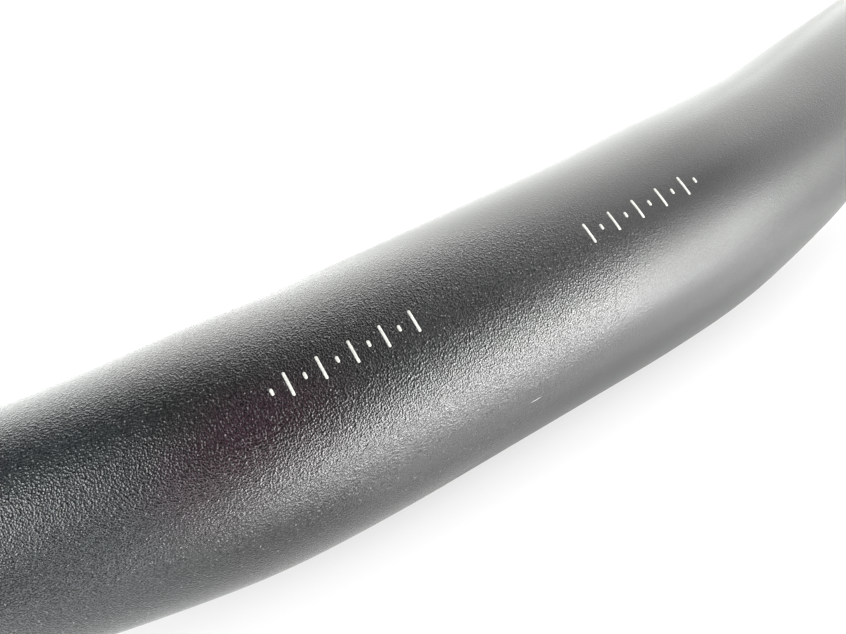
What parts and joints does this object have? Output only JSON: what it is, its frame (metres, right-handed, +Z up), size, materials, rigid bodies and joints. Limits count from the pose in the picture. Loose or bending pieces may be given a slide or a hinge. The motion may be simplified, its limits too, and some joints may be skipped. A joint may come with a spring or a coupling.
{
  "type": "riser handlebar",
  "caption": "Riser handlebar: a hollow tube, thick and straight where a stem clamps it, that rises and narrows on each side and sweeps back to open grip ends, with alignment marks by the clamp.",
  "frame": {"origin": "centre of the clamp zone, on the bar's axis", "axes": "+X along the clamp zone towards the bar end on the right of the picture; +Y across the surface it lies on, the way the rising legs and grips lean; +Z up from that surface"},
  "size_m": [0.6848, 0.0774, 0.0365],
  "materials": {
    "bar": "fine-grained matte black, shot-peened and anodised",
    "marks": "flat off-white printed film"
  },
  "bodies": {
    "root": {"handlebar": "bar", "alignment_marks": "marks"}
  },
  "joints": []
}
